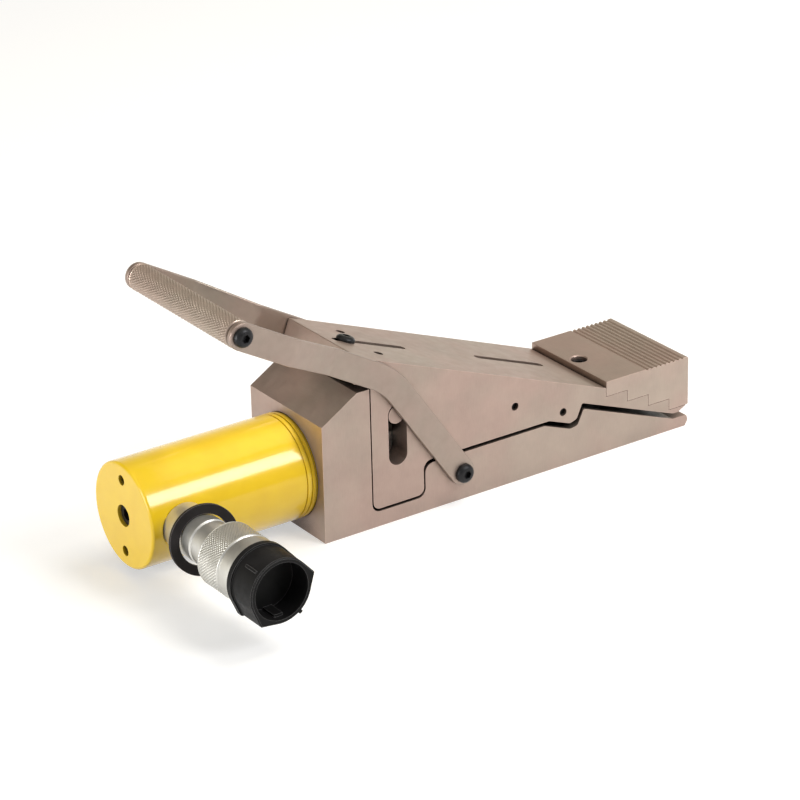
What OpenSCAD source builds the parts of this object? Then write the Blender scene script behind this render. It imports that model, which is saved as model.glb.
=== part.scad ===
// Hydraulic wedge spreader: a cylinder drives a wedge that lifts the upper jaw straight up.
// X runs forward to the tip, Y across, Z up. The origin is the middle of the flat underside.
// Distances along X are measured from the rear face of the block, which from_rear() puts in place.

/* [Main body] */
// Length of the body along its underside
body_l = 239; // [225:1:260]
// Width of the body and of both jaws
body_w = 67; // [62:1:74]
// Length of the rear block that the cylinder screws into
block_l = 29.6; // [28:0.2:34]
// Height of the rear block
block_h = 79; // [76:1:81]
// Height at which the rear block's chamfer starts
block_chamfer_z = 65.5; // [63:0.5:70]
// Flat length left on top of the rear block
block_top_l = 7.6; // [5:0.2:12]
// Thickness of the floor under the wedge
floor_t = 8.5; // [7.5:0.1:9.5]
// Height of the lower jaw in front of the pocket
lower_jaw_z = 26.8; // [26:0.1:27.5]
// Length of the pocket that the upper jaw's tongue drops into
pocket_l = 33.7; // [33:0.1:36]
// Radius of the pocket's corners
pocket_r = 5; // [2:0.5:6]
// Length of the lip at the lower jaw's tip
lip_l = 10.5; // [8:0.1:14]
// Height of the crest of the lower jaw's hook
crest_z = 29.6; // [28.8:0.1:30]
// Thickness of that lip
lip_t = 6.3; // [5:0.1:7]
// Width of the channel that the wedge runs in
channel_w = 40; // [39.6:0.1:43]
// Running clearance on each side of the wedge and the ramp
channel_fit = 0.3; // [0.1:0.1:0.6]

/* [Upper jaw] */
// Angle of the wedge and of the hook's slopes
wedge_angle = 20.8; // [20:0.1:21.5]
// Height of the jaw's rear top edge
jaw_rear_z = 97.2; // [95.5:0.1:99]
// Height of the jaw's sloped top where the step block starts
jaw_front_z = 37.5; // [37.3:0.1:38.5]
// How far the rear top edge overhangs the front of the rear block
jaw_overhang = 4.3; // [3:0.1:6]
// Height of the overhang's underside
overhang_z = 84; // [82:0.5:86]
// Upright gap between the tongue and the rear block
tongue_gap = 0.8; // [0.4:0.1:1.2]
// Gap under the tongue
tongue_floor_gap = 1.6; // [0.8:0.1:2]
// Gap between the two jaws behind the hook
jaw_gap = 2.1; // [1.5:0.1:2.6]
// Gap between the two jaws along the front slope
toe_gap = 3.3; // [2.5:0.1:4]
// Roof left above the jaw's inner channel, measured upright
roof_t = 12; // [10:0.5:14]
// Width of the upright slot for the retaining pin
pin_slot_w = 11.6; // [11:0.1:12.5]
// Width of the two slots in the sloped top
top_slot_w = 5.2; // [5.2:0.1:6]
// Length of each slot in the sloped top
top_slot_l = 48; // [40:1:52]
// Distance along the slope from the rear edge to the first slot
top_slot_start = 5; // [4:0.5:8]
// Distance along the slope between the two slots' rear ends
top_slot_pitch = 96; // [94:1:100]
// Depth of the front slot
front_slot_depth = 9; // [5:0.5:10]

/* [Steps and step block] */
// Length of the step block's top face
step_block_l = 56.6; // [55:0.2:58]
// Height of the first tread
step_z = 32.3; // [31.5:0.1:33]
// Length of each tread
step_run = 14.45; // [14:0.05:14.8]
// Height of each riser
step_rise = 6.65; // [6.2:0.05:6.8]
// Height of the step block's top face
step_block_z = 41.1; // [40:0.1:50]
// Gap of the seat between the block and the steps
step_seat_gap = 0.24; // [0.1:0.01:0.3]
// Spacing of the serrations on the block
serration_pitch = 3; // [2.5:0.1:3.5]
// Depth of the serrations
serration_depth = 0.9; // [0.5:0.1:1.2]
// Number of serrations
serration_n = 9; // [6:1:9]
// Diameter of the recess for the block's screw
block_screw_recess_d = 9; // [8.9:0.1:10]

/* [Wedge and pin] */
// Travel of the plunger and the wedge
stroke = 54; // [40:1:55]
// Length of the wedge
wedge_l = 74; // [68:1:76]
// Height of the wedge at its rear face
wedge_h = 43.4; // [42.8:0.1:43.8]
// Gap that the wedge's faces slide with
slide_fit = 0.1; // [0.05:0.05:0.2]
// Diameter of the retaining pin
pin_d = 10; // [9:0.5:10.5]
// Distance from the rear face to the retaining pin
pin_x = 46.5; // [46:0.1:47]
// Height of the retaining pin
pin_z = 60; // [59:0.1:61]
// How far the pin's ends lie below the jaw's sides
pin_sunk = 0.6; // [0.3:0.1:1.5]
// Width of the lug that carries the pin
lug_w = 25; // [20:1:25]
// Diameter of the two dowels that hold the ramp
dowel_d = 4.5; // [4:0.1:5]
// How deep the dowels' ends lie below the jaw's sides
dowel_sunk = 2.5; // [1:0.5:4]
// Distance along X from the front dowel to the crest of the hook
dowel_back = 13.8; // [13:0.2:16]
// Distance between the dowels along X
dowel_spacing = 31.8; // [30:0.2:33]
// Depth of the dowels under the sloped top, measured upright
dowel_depth = 17; // [16:0.5:18]

/* [Cylinder] */
// Outside diameter of the cylinder
barrel_d = 57; // [56.6:0.1:58]
// Length of the cylinder behind the block
barrel_l = 98.5; // [96:0.5:104]
// Depth that the cylinder screws into the block
barrel_thread_l = 22; // [20:0.5:23]
// Height of the cylinder's axis
axis_z = 32.7; // [32.6:0.1:33]
// Bore of the cylinder
bore_d = 43; // [42.6:0.1:44]
// Diameter of the plunger
plunger_d = 38.1; // [37.5:0.1:38.4]
// Thickness of the cylinder's closed base
base_t = 30; // [29:0.5:30.5]
// Length of the piston
piston_l = 20; // [18:0.5:20]
// Radius of the cylinder's rear edge
barrel_edge_r = 1.5; // [1:0.5:4]
// Distance between the two mounting holes in the base
base_hole_spacing = 39.6; // [36:0.2:42]
// Diameter of the mounting holes in the base
base_hole_d = 5.6; // [5:0.1:8]
// Depth of the mounting holes in the base
base_hole_depth = 10; // [8:1:14]
// Diameter of the centre recess in the base
base_recess_d = 11.7; // [11.6:0.1:13]
// Bore of the hollow plunger, where the return spring lies
plunger_bore_d = 27; // [26:0.5:28]

/* [Coupler] */
// Distance from the base of the cylinder to the oil port
port_offset = 19; // [18:0.5:20]
// Diameter of the port's thread
port_d = 17; // [16:0.1:18]
// Diameter of the nipple outside the cylinder
neck_d = 24.8; // [24:0.1:25]
// Distance from the cylinder's axis to the nipple's shoulder, where the coupler's body starts
nipple_end = 52.5; // [50:0.5:54]
// Diameter of the coupler's body behind the collar
body_neck_d = 24.2; // [23:0.1:24.6]
// Distance from the cylinder's axis to the rear of the collar
collar_start = 67; // [62:0.5:70]
// Diameter of the knurled collar
collar_d = 34.8; // [34:0.1:36]
// Length of the collar
collar_l = 29; // [26:0.5:32]
// Length of the collar's smooth front band
collar_band_l = 11; // [8:0.5:14]
// Length of the dust cap
cap_l = 20.7; // [18:0.1:24]
// Inside diameter of the dust cap's front cup
cap_cup_d = 30.2; // [28:0.1:31]
// Inside diameter of the tether ring
ring_inner_d = 27; // [26.6:0.1:28]
// Outside diameter of the tether ring
ring_outer_d = 37.2; // [34:0.2:38]
// Thickness of the tether ring
ring_t = 1.8; // [1.6:0.1:2.4]

/* [Handle] */
// Distance from the rear face to the handle's pivot
pivot_x = 85.3; // [84:0.1:88]
// Height of the handle's pivot
pivot_z = 17; // [15.5:0.1:18]
// Distance from the rear face to the handle's bend
bend_x = 40.8; // [39:0.2:43]
// Height of the handle's bend
bend_z = 81.8; // [80:0.2:84]
// Distance from the rear face to the grip, behind the block
grip_x = -54.4; // [-56:0.2:-50]
// Height of the grip
grip_z = 136; // [134:0.5:140]
// Width of the flat arms
arm_w = 14.4; // [13.4:0.1:17]
// Thickness of the flat arms
arm_t = 3; // [2.5:0.5:6]
// Gap between the arms and the body
arm_gap = 0.6; // [0.5:0.1:1]
// How far the arms step outward on the way to the grip
arm_step = 13; // [8:0.5:14]
// Distance along the arm from its bend to that step
arm_step_at = 39.8; // [34:0.2:44]
// Length along the arm of that step
arm_step_l = 35.2; // [30:0.2:38]
// Radius of the arms' bend on its centre line
bend_r = 45; // [30:1:60]
// Diameter of the knurled grip
grip_d = 14.8; // [13:0.1:15.4]
// Diameter of the button heads of the four handle screws
button_d = 10.5; // [10:0.1:12]
// Height of those button heads
button_h = 3.3; // [2.8:0.1:3.6]
// Thread diameter of the handle screws
screw_d = 6; // [5:0.5:6]

/* [Springs] */
// Wire diameter of the plunger's return spring
plunger_wire_d = 3; // [2.5:0.1:3.2]
// Outside diameter of the plunger's return spring
plunger_coil_d = 23.4; // [22:0.1:24]
// Number of curls in the plunger's return spring
plunger_curls = 16; // [12:1:18]
// Wire diameter of the jaw's return springs
jaw_wire_d = 1.2; // [1:0.1:1.3]
// Outside diameter of the jaw's return springs
jaw_coil_d = 7.8; // [7.6:0.1:8]
// Rise of one curl of the jaw's return springs
jaw_coil_pitch = 1.75; // [1.7:0.05:1.9]
// Number of curls in each of the jaw's return springs
jaw_curls = 5; // [4:0.5:5]
// Distance of the jaw's return springs from the middle
jaw_spring_y = 17.6; // [17.5:0.1:17.8]
// Wire diameter of the coupler's valve spring
valve_wire_d = 0.9; // [0.7:0.1:1]
// Number of curls in the coupler's valve spring
valve_curls = 5; // [3:1:6]

/* [Hidden] */

// Colours
steel_tan = [0.70, 0.63, 0.58];
paint_yellow = [0.96, 0.79, 0.16];
black_oxide = [0.12, 0.12, 0.13];
bright_steel = [0.74, 0.74, 0.72];
plastic_black = [0.09, 0.09, 0.10];
rubber_black = [0.06, 0.06, 0.06];
bronze = [0.68, 0.50, 0.26];

// Shared small values
round_fn = 64;
fine_fn = 32;
cut = 1;
thread_fit = 0.05;
running_fit = 0.06;
loose_fit = 0.3;
half_w = body_w / 2;
slope = tan(wedge_angle);

// Lower jaw
crest_x = body_l - lip_l - (crest_z - lip_t) / slope;
channel_end_x = crest_x - 3.2;
dip_l = 18;
hook_run = 4.2;
lip_nose_r = 2;
pocket_end_x = block_l + pocket_l;
dip_start_x = crest_x - hook_run - dip_l - 4;
dip_end_x = dip_start_x + dip_l - 1;
dip_z = lower_jaw_z - slope * (dip_l - 1);
lip_x = crest_x + (crest_z - lip_t) / slope;

// Upper jaw
jaw_rear_x = block_l - jaw_overhang;
step_x = body_l - step_block_l;
top_slope = (jaw_rear_z - jaw_front_z) / (step_x - jaw_rear_x);
top_angle = atan(top_slope);
tongue_x = block_l + tongue_gap;
tongue_z = floor_t + tongue_floor_gap;
tongue_front_gap = 1;
tongue_front_x = pocket_end_x - tongue_front_gap;
jaw_under_z = lower_jaw_z + jaw_gap;
cavity_w = channel_w - 0.6;
cavity_end_x = channel_end_x - 4;
cavity_rear_z = overhang_z - 8;
jaw_lip_l = 5.3;
jaw_nose_back = 1.5;
jaw_crest_back = 1;
jaw_hook_lean = 0.6;
jaw_hook_rise = 1.4;
step_n = 4;
last_tread_z = step_z - (step_n - 1) * step_rise;
ramp_rear_x = pocket_end_x - 1.3;
ramp_toe_z = floor_t + 1.3;
ramp_w = channel_w - 2 * channel_fit - 0.6;
ramp_toe_gap = 0.3;
block_screw_x = step_x + step_run / 2;
block_screw_d = 5;
block_screw_depth = 7;
block_screw_seat = 2.6;
block_head_d = block_screw_recess_d - 0.5;
block_head_h = 4;
slot_screw_s = 13.5;
slot_screw_d = 5;
slot_head_d = 10.2;
slot_head_h = 2.8;
slot_nut_w = 10;
slot_nut_h = 4;
dowel_x = crest_x - dowel_back - dowel_spacing;

// Wedge
wedge_x = block_l + 1;
wedge_bottom_z = floor_t + slide_fit;
wedge_top_z = wedge_bottom_z + wedge_h;
wedge_w = channel_w - 2 * channel_fit;
ramp_gap = slide_fit / cos(wedge_angle);
ramp_toe_x = wedge_x + (wedge_top_z + ramp_gap - ramp_toe_z) / slope;
t_stem_d = 14;
t_head_d = 22;
t_stem_l = 4.5;
t_head_l = 6;
t_fit = 0.4;

// Pin, lug and the jaw's return springs
jaw_lift = stroke * slope;
pin_spare = 0.6;
slot_spare = 2;
lug_l = 28.4;
lug_under = 7;
lug_h = 16;
spring_bore_d = 9;
spring_screw_d = 5;
spring_screw_l = 15;
spring_screw_sunk = 3.2;
hook_fit = 0.4;
hook_r = pin_d / 2 + hook_fit + jaw_wire_d / 2;
jaw_coil_r = (jaw_coil_d - jaw_wire_d) / 2;
jaw_coil_z = pin_z + 7.4;
spring_bore_top = jaw_coil_z + jaw_curls * jaw_coil_pitch + jaw_wire_d / 2 + 0.4;

// Cylinder
wedge_seat_x = wedge_x;
bore_bottom_x = base_t - barrel_l;
piston_x = bore_bottom_x + 0.5;
piston_end_x = piston_x + piston_l;
gland_x = piston_end_x + stroke + 0.5;
barrel_front_x = barrel_thread_l - 0.02;
piston_d = bore_d - 2 * 0.08;
seal_groove_l = 5;
seal_groove_d = plunger_d - 1;
bearing_x = piston_x + 3;
bearing_l = 4;
seal_groove_x = bearing_x + bearing_l + 2.5;
bearing_groove_d = bore_d - 3;
plunger_bore_end_x = 12;
nose_d = 12;
anchor_d = 8;
anchor_head_d = 11.2;
anchor_head_l = 6;
recess_depth = 8;
plug_l = 8;
plunger_coil_r = (plunger_coil_d - plunger_wire_d) / 2;
plug_d = 2 * (plunger_coil_r * cos(22.5) - plunger_wire_d / 2 - 0.2);
plunger_coil_x = bore_bottom_x + 4;
plunger_coil_l = plunger_bore_end_x - 4 - plunger_coil_x;
oil_hole_d = 5;
oil_hole_y = 17;

// Coupler, measured from the cylinder's axis along -Y
port_x = port_offset - barrel_l;
port_bottom = 14;
spotface = 27.6;
spotface_d = neck_d + 1.6;
neck_edge = 0.8;
spigot_d = 14;
spigot_l = 7;
inner_body_d = body_neck_d + 2.2;
collar_bore_d = inner_body_d + 2 * loose_fit;
collar_end = collar_start + collar_l;
body_end = collar_end + 4.5;
socket_d = 19;
socket_l = 16.5;
valve_bore_d = 13;
valve_lip_t = 2;
valve_hole_d = 8;
valve_bore_start = nipple_end + spigot_l + 1.5;
valve_bore_end = body_end - socket_l - valve_lip_t;
valve_head_l = 3;
valve_head_d = valve_bore_d - 0.6;
valve_coil_r = 4.4;
cap_start = collar_end + 0.3;
cap_end = cap_start + cap_l;
cap_web_start = body_end + 0.5;
cap_web_t = 2;
cap_d = collar_d;
cap_rim_t = 0.9;
cap_rim_l = 3.2;
cap_ear_r = 1;
cap_front_ear = [13, cap_d / 2 + 2.5];
cap_rear_ear = [233, cap_d / 2 + 2.7];
cap_lug_at = -54;
cap_rib_at = 133;
cap_rib_l = 9;
cap_tab_at = -90;
snap_wire_d = 1.6;
snap_at = collar_end - collar_band_l / 2 - 0.5;
seal_wire_d = 2.4;
seal_at = body_end - socket_l + 8;
ring_at = 46.2;
ring_drop = -0.6;
ring_tilt = [-8, 0, -8];

// Handle
arm_inner_y = half_w + arm_gap;
arm_run_angle = atan((grip_z - bend_z) / (bend_x - grip_x));
button_seat_y = arm_inner_y + arm_t + 0.2;
bush_d = 8;
washer_t = arm_gap - 0.1;
pivot_thread_l = 10.5;
grip_half_l = arm_inner_y + arm_step - 0.3;
grip_thread_l = 13;
socket_af = 4;

function unit(v) = v / norm(v);
function top_z(x) = jaw_rear_z - top_slope * (x - jaw_rear_x);
function roof_z(x) = top_z(x) - roof_t;
function wedge_z(x) = wedge_top_z - slope * (x - wedge_x);

// Points of an arc of radius r that rounds the corner q between p and s
function corner(p, q, s, r, n = 8) =
    r <= 0 ? [q] :
    let (
        u = unit(p - q),
        v = unit(s - q),
        half = acos(u * v) / 2,
        c = q + unit(u + v) * r / sin(half),
        a0 = atan2((q + u * r / tan(half) - c)[1], (q + u * r / tan(half) - c)[0]),
        a1 = atan2((q + v * r / tan(half) - c)[1], (q + v * r / tan(half) - c)[0]),
        turn = a1 - a0 > 180 ? a1 - a0 - 360 : (a1 - a0 < -180 ? a1 - a0 + 360 : a1 - a0)
    )
    [for (i = [0 : n]) c + r * [cos(a0 + turn * i / n), sin(a0 + turn * i / n)]];

// A closed outline whose points [x, z, r] each give the radius of their corner
function rounded(path) =
    let (n = len(path), flat = [for (p = path) [p[0], p[1]]])
    [for (i = [0 : n - 1]) each corner(flat[(i + n - 1) % n], flat[i], flat[(i + 1) % n], path[i][2])];

// Moves children from the block's rear face to the origin at the middle of the underside
module from_rear() {
    translate([-body_l / 2, 0, 0]) children();
}

// Extrudes a side view, drawn in X and Z, across the width w
module side_view(w) {
    rotate([90, 0, 0]) linear_extrude(height = w, center = true) children();
}

// Children drawn along Z lie along X on the cylinder's axis
module on_axis(x = 0) {
    translate([x, 0, axis_z]) rotate([0, 90, 0]) children();
}

// Children drawn along Z point to -Y from the cylinder's axis at the oil port
module at_port() {
    translate([port_x, 0, axis_z]) rotate([90, 0, 0]) children();
}

// Children drawn along Z stand square to the sloped top, at distance s down the slope
module on_slope(s) {
    translate([jaw_rear_x, 0, jaw_rear_z]) rotate([0, top_angle, 0]) translate([s, 0, 0]) children();
}

// A hole across the width at x and z
module cross_hole(x, z, d, w = body_w + 2 * cut) {
    translate([x, 0, z]) rotate([90, 0, 0]) cylinder(h = w, d = d, center = true, $fn = round_fn);
}

// A ring with a rectangular section, from z0 to z1
module ring(d_out, d_in, z0, z1, fn = round_fn) {
    translate([0, 0, z0]) difference() {
        cylinder(h = z1 - z0, d = d_out, $fn = fn);
        translate([0, 0, -cut]) cylinder(h = z1 - z0 + 2 * cut, d = d_in, $fn = fn);
    }
}

// A ring with a round section at height z
module round_ring(d_mid, d_wire, z) {
    translate([0, 0, z]) rotate_extrude($fn = round_fn)
        translate([d_mid / 2, 0]) circle(d = d_wire, $fn = 16);
}

// A button-head screw: the head's seat is at z = 0, the head stands up and the shank hangs down
module button_screw(head_d, head_h, shank_d, shank_l) {
    rim_h = head_h * 0.25;
    dome_n = 6;
    difference() {
        union() {
            rotate_extrude($fn = round_fn) polygon(concat(
                [[0, 0], [head_d / 2, 0], [head_d / 2, rim_h]],
                [for (i = [1 : dome_n])
                    let (a = 60 * i / dome_n)
                    [head_d / 2 * (0.45 + 0.55 * cos(a * 1.5)), rim_h + (head_h - rim_h) * sin(a * 1.5)]],
                [[0, head_h]]
            ));
            translate([0, 0, -shank_l]) cylinder(h = shank_l + 0.01, d = shank_d, $fn = round_fn);
        }
        translate([0, 0, head_h * 0.35]) cylinder(h = head_h, d = socket_af / cos(30), $fn = 6);
    }
}

// A hexagonal socket cut down from z_top
module socket_recess(z_top, depth, af) {
    translate([0, 0, z_top - depth]) cylinder(h = depth + cut, d = af / cos(30), $fn = 6);
}

// Tangent of a list of points at index i
function tangent(p, i) = unit(p[min(i + 1, len(p) - 1)] - p[max(i - 1, 0)]);
function square_to(n, t) = unit(n - (n * t) * t);

// Normals carried along a list of points without twist
function carried(p, n0) =
    [for (
        i = 0, n = square_to(n0, tangent(p, 0));
        i < len(p);
        i = i + 1, n = square_to(n, tangent(p, i))
    ) n];

// One unbroken tube of wire diameter d along the points p
module wire(p, d, n0) {
    sides = 6;
    n = len(p);
    normals = carried(p, n0);
    points = [
        for (i = [0 : n - 1])
            let (t = tangent(p, i), u = normals[i], v = cross(t, u))
            for (k = [0 : sides - 1])
                p[i] + d / 2 * (cos(360 * k / sides) * u + sin(360 * k / sides) * v)
    ];
    skin = [
        for (i = [0 : n - 2])
            for (k = [0 : sides - 1])
                let (a = i * sides + k, b = i * sides + (k + 1) % sides)
                each [[a, a + sides, b], [b, a + sides, b + sides]]
    ];
    first = [for (k = [1 : sides - 2]) [0, k, k + 1]];
    last = [for (k = [1 : sides - 2]) let (o = (n - 1) * sides) [o, o + k + 1, o + k]];
    polyhedron(points = points, faces = concat(skin, first, last));
}

// Points of a coil about Z, from height z0
function coil(r, curls, z0, pitch, per_curl = 8) =
    [for (i = [0 : curls * per_curl]) let (a = 360 * i / per_curl)
        [r * cos(a), r * sin(a), z0 + pitch * i / per_curl]];

// Least gap between a tube's runs, measured on its points
function least_gap(p, d, skip = 6) =
    min([for (i = [0 : len(p) - 1 - skip]) min([for (j = [i + skip : len(p) - 1]) norm(p[i] - p[j])])]) - d;

jaw_spring_path = concat(
    [for (a = [160 : 25 : 360]) [hook_r * cos(a), 0, pin_z + hook_r * sin(a)]],
    [[(hook_r + jaw_coil_r) / 2 + 0.4, 0, (pin_z + jaw_coil_z) / 2]],
    coil(jaw_coil_r, jaw_curls, jaw_coil_z, jaw_coil_pitch)
);
plunger_spring_path = coil(plunger_coil_r, plunger_curls, 0, plunger_coil_l / plunger_curls);
valve_coil_l = valve_bore_end - valve_head_l - valve_bore_start - 1.6;
valve_spring_path = coil(valve_coil_r, valve_curls, valve_bore_start + 0.8, valve_coil_l / valve_curls);
echo(jaw_spring_least_gap = least_gap(jaw_spring_path, jaw_wire_d));
echo(plunger_spring_least_gap = least_gap(plunger_spring_path, plunger_wire_d));
echo(valve_spring_least_gap = least_gap(valve_spring_path, valve_wire_d));
echo(jaw_lift = jaw_lift);

// Side view of the body: block, pocket, lower jaw with its hook, and lip
module body_outline() {
    polygon(rounded([
        [0, 0, 0],
        [0, block_chamfer_z, 0],
        [block_l - block_top_l, block_h, 0],
        [block_l, block_h, 0],
        [block_l, floor_t, pocket_r],
        [pocket_end_x, floor_t, pocket_r],
        [pocket_end_x, lower_jaw_z, pocket_r],
        [dip_start_x, lower_jaw_z, 3],
        [dip_end_x, dip_z, 4],
        [crest_x - hook_run, dip_z + 0.6, 3],
        [crest_x, crest_z, 1.2],
        [lip_x, lip_t, 2],
        [body_l - lip_nose_r / 2, lip_t, lip_nose_r / 2],
        [body_l, lip_t / 2, lip_nose_r],
        [body_l - lip_nose_r, 0, lip_nose_r / 2]
    ]));
}

module main_body() {
    color(steel_tan) from_rear() difference() {
        union() {
            side_view(body_w) body_outline();
            translate([block_l - 1, -lug_w / 2, pin_z - lug_under]) cube([lug_l, lug_w, lug_h]);
        }
        on_axis(-cut) cylinder(h = barrel_thread_l + cut, d = barrel_d, $fn = round_fn);
        on_axis() cylinder(h = block_l + cut, d = plunger_d + 0.8, $fn = round_fn);
        translate([block_l, -channel_w / 2, floor_t])
            cube([channel_end_x - block_l, channel_w, crest_z]);
        cross_hole(pin_x, pin_z, pin_d + 2 * 0.02);
        for (s = [-1, 1])
            translate([pivot_x, s * (half_w + cut), pivot_z]) rotate([s * 90, 0, 0])
                cylinder(h = pivot_thread_l + cut, d = screw_d + 2 * thread_fit, $fn = fine_fn);
    }
}

// Side view of the upper jaw, with the steps under the step block
module jaw_outline() {
    steps = [for (i = [0 : step_n - 1]) each [
        [step_x + i * step_run, step_z + step_rise - i * step_rise, 0],
        [step_x + i * step_run, step_z - i * step_rise, 0]
    ]];
    polygon(rounded(concat(
        [
            [tongue_x, tongue_z, pocket_r - 1],
            [tongue_x, overhang_z, 1],
            [jaw_rear_x - top_slope * (jaw_rear_z - overhang_z), overhang_z, 0.5],
            [jaw_rear_x, jaw_rear_z, 0.6],
            [step_x, top_z(step_x), 0.4]
        ],
        [for (i = [1 : len(steps) - 1]) steps[i]],
        [
            [body_l - jaw_nose_back, last_tread_z, 0],
            [lip_x + jaw_lip_l - jaw_nose_back, lip_t + toe_gap, 2],
            [lip_x, lip_t + toe_gap, 2],
            [crest_x - jaw_crest_back, crest_z + toe_gap + slope * jaw_crest_back, 1],
            [crest_x - hook_run - jaw_hook_lean, dip_z + toe_gap + jaw_hook_rise, 3],
            [dip_end_x, dip_z + toe_gap, 3],
            [dip_end_x - (jaw_under_z - dip_z - toe_gap) / slope, jaw_under_z, 2],
            [tongue_front_x, jaw_under_z, pocket_r],
            [tongue_front_x, tongue_z, pocket_r - 1]
        ]
    )));
}

// A slot of width w and length l with round ends, cut from z = 1 down to depth
module slot_cut(l, w, depth) {
    translate([0, 0, -depth]) {
        translate([w / 2, -w / 2, 0]) cube([l - w, w, depth + cut]);
        for (x = [w / 2, l - w / 2])
            translate([x, 0, 0]) cylinder(h = depth + cut, d = w, $fn = fine_fn);
    }
}

module upper_jaw() {
    color(steel_tan) from_rear() difference() {
        side_view(body_w) jaw_outline();
        side_view(cavity_w) polygon([
            [0, 0],
            [cavity_end_x, 0],
            [cavity_end_x, roof_z(cavity_end_x)],
            [tongue_x, roof_z(tongue_x)],
            [tongue_x, cavity_rear_z],
            [0, cavity_rear_z]
        ]);
        cross_hole(pin_x, pin_z + pin_spare, pin_slot_w);
        cross_hole(pin_x, pin_z - jaw_lift - slot_spare, pin_slot_w);
        translate([pin_x - pin_slot_w / 2, -half_w - cut, pin_z - jaw_lift - slot_spare])
            cube([pin_slot_w, body_w + 2 * cut, jaw_lift + pin_spare + slot_spare]);
        for (s = [-1, 1]) translate([pin_x, s * jaw_spring_y, 0]) {
            translate([0, 0, pin_z - jaw_lift - hook_r]) cylinder(
                h = spring_bore_top - pin_z + jaw_lift + hook_r, d = spring_bore_d, $fn = round_fn);
            cylinder(h = jaw_rear_z, d = spring_screw_d + 2 * thread_fit, $fn = fine_fn);
        }
        on_slope(top_slot_start) slot_cut(top_slot_l, top_slot_w, roof_t + cut);
        on_slope(top_slot_start + top_slot_pitch) slot_cut(top_slot_l, top_slot_w, front_slot_depth);
        for (i = [0, 1])
            cross_hole(dowel_x + i * dowel_spacing, top_z(dowel_x + i * dowel_spacing) - dowel_depth,
                dowel_d + 2 * 0.02);
        translate([block_screw_x, 0, step_z - block_screw_depth])
            cylinder(h = block_screw_depth + cut, d = block_screw_d + 2 * thread_fit, $fn = fine_fn);
    }
}

// Hardened ramp between the jaw's cheeks; the wedge slides under it
module jaw_ramp() {
    color(bright_steel) from_rear() difference() {
        side_view(ramp_w) polygon([
            [ramp_rear_x, roof_z(ramp_rear_x)],
            [cavity_end_x - 0.2, roof_z(cavity_end_x - 0.2)],
            [cavity_end_x - 0.2, jaw_under_z + ramp_toe_gap],
            [ramp_toe_x, jaw_under_z + ramp_toe_gap],
            [ramp_toe_x, wedge_z(ramp_toe_x) + ramp_gap],
            [ramp_rear_x, wedge_z(ramp_rear_x) + ramp_gap]
        ]);
        for (i = [0, 1])
            cross_hole(dowel_x + i * dowel_spacing, top_z(dowel_x + i * dowel_spacing) - dowel_depth,
                dowel_d + 2 * 0.02);
    }
}

module jaw_dowels() {
    color(black_oxide) from_rear() for (i = [0, 1])
        cross_hole(dowel_x + i * dowel_spacing, top_z(dowel_x + i * dowel_spacing) - dowel_depth,
            dowel_d, body_w - 2 * dowel_sunk);
}

module step_block() {
    g = step_seat_gap;
    steps = [for (i = [step_n - 1 : -1 : 0]) each [
        [step_x + g + (i + 1) * step_run, step_z + g - i * step_rise, 0],
        [step_x + g + i * step_run, step_z + g - i * step_rise, 0]
    ]];
    first_x = body_l - 4 - (serration_n - 1) * serration_pitch;
    color(steel_tan) from_rear() difference() {
        side_view(body_w) polygon(rounded(concat(
            [
                [step_x + g, step_block_z, 0.4],
                [body_l, step_block_z, 1.5],
                [body_l, last_tread_z + g, 0.6]
            ],
            [for (i = [1 : len(steps) - 1]) steps[i]]
        )));
        for (i = [0 : serration_n - 1])
            side_view(body_w + 2 * cut) polygon([
                [first_x + i * serration_pitch, step_block_z - serration_depth],
                [first_x + i * serration_pitch + 0.2 * serration_pitch, step_block_z + 0.01],
                [first_x + i * serration_pitch - 0.5 * serration_pitch, step_block_z + 0.01]
            ]);
        translate([block_screw_x, 0, 0]) {
            cylinder(h = step_block_z + cut, d = block_screw_d + 0.4, $fn = fine_fn);
            translate([0, 0, step_z + block_screw_seat])
                cylinder(h = step_block_z, d = block_screw_recess_d, $fn = round_fn);
            translate([0, 0, step_block_z - 0.6]) cylinder(
                h = 0.61, d1 = block_screw_recess_d, d2 = block_screw_recess_d + 1.2, $fn = round_fn);
        }
    }
}

module step_block_screw() {
    z0 = step_z - block_screw_depth + 0.6;
    seat = step_z + block_screw_seat + 0.02;
    color(black_oxide) from_rear() translate([block_screw_x, 0, 0]) difference() {
        union() {
            translate([0, 0, z0]) cylinder(h = seat + 0.1 - z0, d = block_screw_d, $fn = fine_fn);
            translate([0, 0, seat]) cylinder(h = block_head_h, d = block_head_d, $fn = round_fn);
        }
        socket_recess(seat + block_head_h, 2.4, socket_af);
    }
}

module slot_screw() {
    color(black_oxide) from_rear() on_slope(slot_screw_s) translate([0, 0, 0.02])
        button_screw(slot_head_d, slot_head_h, slot_screw_d, roof_t + slot_nut_h);
}
module slot_nut() {
    nut_top = -roof_t * cos(top_angle) - 0.02;
    color(black_oxide) from_rear() on_slope(slot_screw_s) difference() {
        translate([-slot_nut_w / 2, -slot_nut_w / 2, nut_top - slot_nut_h])
            cube([slot_nut_w, slot_nut_w, slot_nut_h]);
        translate([0, 0, nut_top - slot_nut_h - cut])
            cylinder(h = slot_nut_h + 2 * cut, d = slot_screw_d + 2 * thread_fit, $fn = fine_fn);
    }
}

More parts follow.
